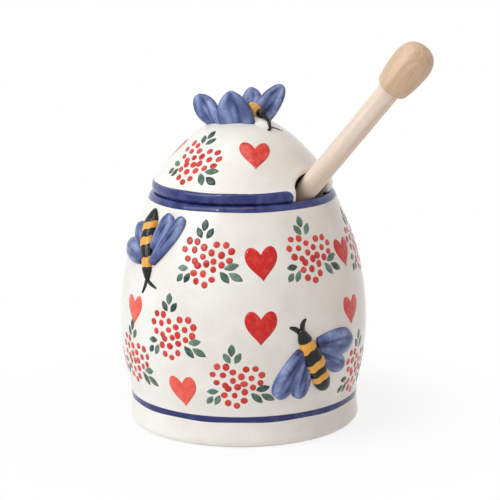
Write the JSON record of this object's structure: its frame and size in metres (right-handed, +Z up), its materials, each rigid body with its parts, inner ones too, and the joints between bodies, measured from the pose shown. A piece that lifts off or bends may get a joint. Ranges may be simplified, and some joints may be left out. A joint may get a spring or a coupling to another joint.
{
  "type": "honey pot",
  "caption": "Glazed stoneware honey pot with a domed lift-off lid, raised bees, painted hearts and berries, and a wooden honey dipper leaning out of a notch in the lid.",
  "frame": {"origin": "on the pot's axis, at the flat ring it stands on", "axes": "+Z up along the pot's axis, +X towards the notch in the lid where the dipper comes out"},
  "size_m": [0.1507, 0.11, 0.1738],
  "materials": {
    "white_glaze": "glossy clear glaze over pale stoneware",
    "wing_glaze": "glossy blue glaze, darker in the grooves",
    "bee_striped_glaze": "glossy yellow glaze with black bands",
    "bee_black_glaze": "glossy black glaze",
    "pale_wood": "bare turned wood, fine grain",
    "knob_wood": "bare turned wood, warmer tone"
  },
  "bodies": {
    "pot": {"front_bee_body": "bee_striped_glaze", "front_bee_head": "bee_black_glaze", "front_bee_left_forewing": "wing_glaze", "front_bee_left_hindwing": "wing_glaze", "front_bee_right_forewing": "wing_glaze", "front_bee_right_hindwing": "wing_glaze", "pot_body": "white_glaze", "side_bee_body": "bee_striped_glaze", "side_bee_head": "bee_black_glaze", "side_bee_left_forewing": "wing_glaze", "side_bee_left_hindwing": "wing_glaze", "side_bee_right_forewing": "wing_glaze", "side_bee_right_hindwing": "wing_glaze"},
    "lid": {"lid_bee_body": "bee_striped_glaze", "lid_bee_head": "bee_black_glaze", "lid_bee_left_forewing": "wing_glaze", "lid_bee_left_hindwing": "wing_glaze", "lid_bee_mound": "white_glaze", "lid_bee_right_forewing": "wing_glaze", "lid_bee_right_hindwing": "wing_glaze", "lid_shell": "white_glaze"},
    "dipper": {"dipper_grip_knob": "knob_wood", "dipper_head": "pale_wood", "dipper_shaft": "pale_wood"}
  },
  "joints": [
    {"name": "lid_lift", "type": "slide", "parent": "pot", "child": "lid", "axis": [0, 0, 1], "range_m": [0, 0.12]},
    {"name": "dipper_draw", "type": "slide", "parent": "pot", "child": "dipper", "axis": [0.6691, 0, 0.7431], "range_m": [0, 0.08]}
  ]
}
